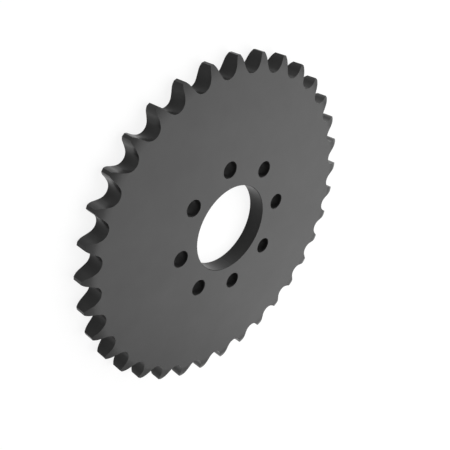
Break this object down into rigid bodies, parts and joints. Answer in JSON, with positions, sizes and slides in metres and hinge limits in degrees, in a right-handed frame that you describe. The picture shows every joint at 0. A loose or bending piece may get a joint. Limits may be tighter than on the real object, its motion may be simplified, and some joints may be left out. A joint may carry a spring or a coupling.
{
  "type": "chain sprocket",
  "caption": "Flat plate sprocket for a roller chain, with teeth relieved on both faces, a plain central bore and a ring of bolt holes around it.",
  "frame": {"origin": "on the bore's axis, at the plate's back face, which the part lies on", "axes": "+Z along the bore's axis, out of the front face; +X towards the first bolt hole"},
  "size_m": [0.36, 0.3612, 0.0186],
  "materials": {
    "blackened_steel": "dark grey blackened steel, smooth and nearly matte"
  },
  "bodies": {
    "root": {"sprocket": "blackened_steel"}
  },
  "joints": []
}
